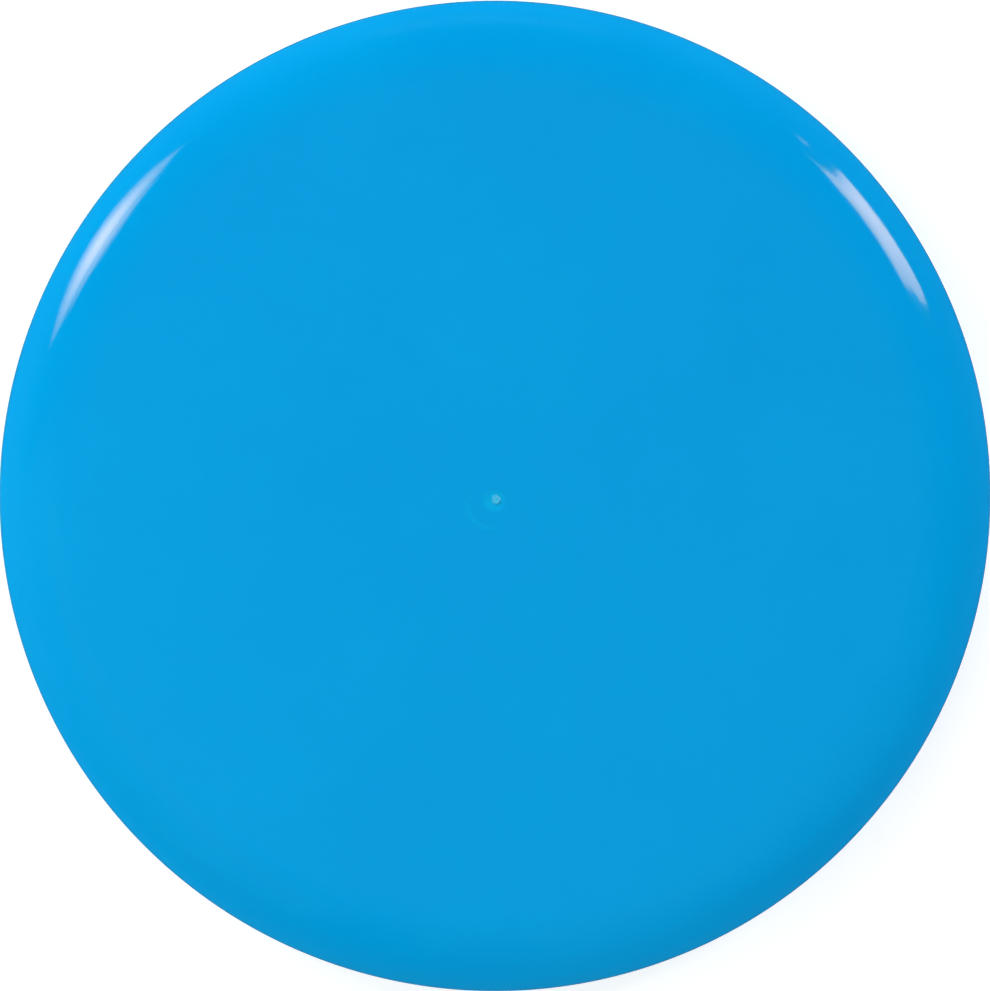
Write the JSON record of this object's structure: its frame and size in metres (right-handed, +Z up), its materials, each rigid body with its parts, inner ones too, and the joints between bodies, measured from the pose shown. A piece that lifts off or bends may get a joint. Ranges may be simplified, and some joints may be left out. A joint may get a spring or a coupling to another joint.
{
  "type": "flying disc",
  "caption": "Round throwing disc: a low domed flight plate with a deep, blunt rim moulded round it, in glossy blue plastic, with a gate mark in the middle.",
  "frame": {"origin": "middle of the circle that the disc rests on, in the plane of its foot", "axes": "+Z up along the disc's axis, from the open underside towards the dome; X and Y lie in the foot's plane"},
  "size_m": [0.212, 0.212, 0.0197],
  "materials": {
    "core_plastic": "glossy injection-moulded plastic in bright sky blue, with faint cloudy flow marks round the gate",
    "rim_plastic": "glossy over-moulded plastic in the same bright sky blue"
  },
  "bodies": {
    "root": {"flight_plate": "core_plastic", "outer_rim": "rim_plastic"}
  },
  "joints": []
}
